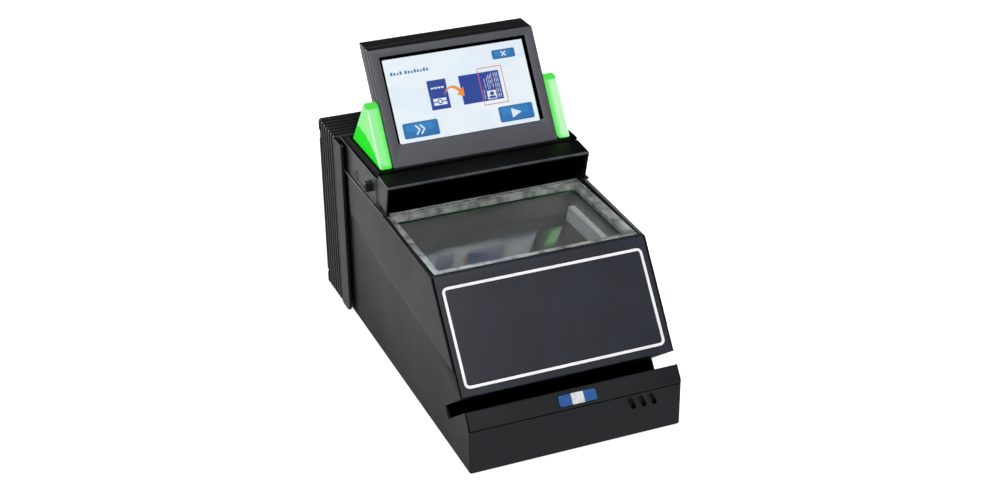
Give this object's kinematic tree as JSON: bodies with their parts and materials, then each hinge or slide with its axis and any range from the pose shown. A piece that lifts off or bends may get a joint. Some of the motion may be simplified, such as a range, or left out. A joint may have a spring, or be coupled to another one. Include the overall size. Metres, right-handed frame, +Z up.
{
  "type": "passport reader",
  "caption": "Desktop document reader with a hooded scanning glass, a swipe channel across the sloping front, a tilting touch display between green signal lights and a ribbed rear cover.",
  "frame": {"origin": "centre of the footprint, at the level the feet stand on", "axes": "+X to the operator's right, +Y from the sloping front towards the ribbed rear, +Z up"},
  "size_m": [0.146, 0.262, 0.1953],
  "materials": {
    "shell_black": "fine moulded grain",
    "plate_black": "fine satin grain",
    "bezel_grey": "satin",
    "guide_white": "smooth",
    "lens_blue": "smooth translucent",
    "lens_white": "smooth translucent",
    "signal_green": "translucent, lit from below",
    "clear_glass": "clear",
    "screen": "backlit panel",
    "steel": "plain",
    "circuit_green": "solder mask",
    "box_silver": "satin",
    "rubber": "matt"
  },
  "bodies": {
    "housing": {"base_shell": "shell_black", "base_plate": "shell_black", "rear_sleeve": "shell_black", "hood": "shell_black", "dock_cover": "shell_black", "rear_panel": "shell_black", "speaker": "shell_black", "board_frame": "shell_black", "camera_mount": "shell_black", "lens_holder": "shell_black", "camera_lens": "shell_black", "swipe_head": "shell_black", "power_switch": "shell_black", "power_jack": "shell_black", "front_cover": "plate_black", "front_lip": "plate_black", "swipe_track": "plate_black", "guide_inlay": "guide_white", "status_lens_left": "lens_blue", "status_lens_right": "lens_blue", "status_lens_middle": "lens_white", "lamp_bar_left": "lens_white", "lamp_bar_right": "lens_white", "signal_light_left": "signal_green", "signal_light_right": "signal_green", "scan_glass": "clear_glass", "swipe_window": "clear_glass", "screw_front_left": "steel", "screw_front_right": "steel", "screw_rear_left": "steel", "screw_rear_right": "steel", "hinge_pin_left": "steel", "hinge_pin_right": "steel", "network_socket": "steel", "usb_socket_a": "steel", "usb_socket_b": "steel", "antenna_board": "circuit_green", "camera_board": "circuit_green", "main_board": "circuit_green", "signal_board_left": "circuit_green", "signal_board_right": "circuit_green", "glass_frame": "box_silver", "light_box": "box_silver", "foot_front_left": "rubber", "foot_front_right": "rubber", "foot_rear_left": "rubber", "foot_rear_right": "rubber"},
    "display": {"display_bezel": "bezel_grey", "display_back": "bezel_grey", "touch_glass": "clear_glass", "lcd_panel": "screen", "display_board": "circuit_green"},
    "power_button": {"power_button": "shell_black"}
  },
  "joints": [
    {"name": "display_tilt", "type": "hinge", "parent": "housing", "child": "display", "pos_m": [0, 0.02788, 0.12856], "axis": [1, 0, 0], "range_deg": [-20, 15]},
    {"name": "power_button_press", "type": "slide", "parent": "housing", "child": "power_button", "axis": [1, 0, 0], "range_m": [0, 0.0014], "stiffness_N_per_m": 800}
  ]
}
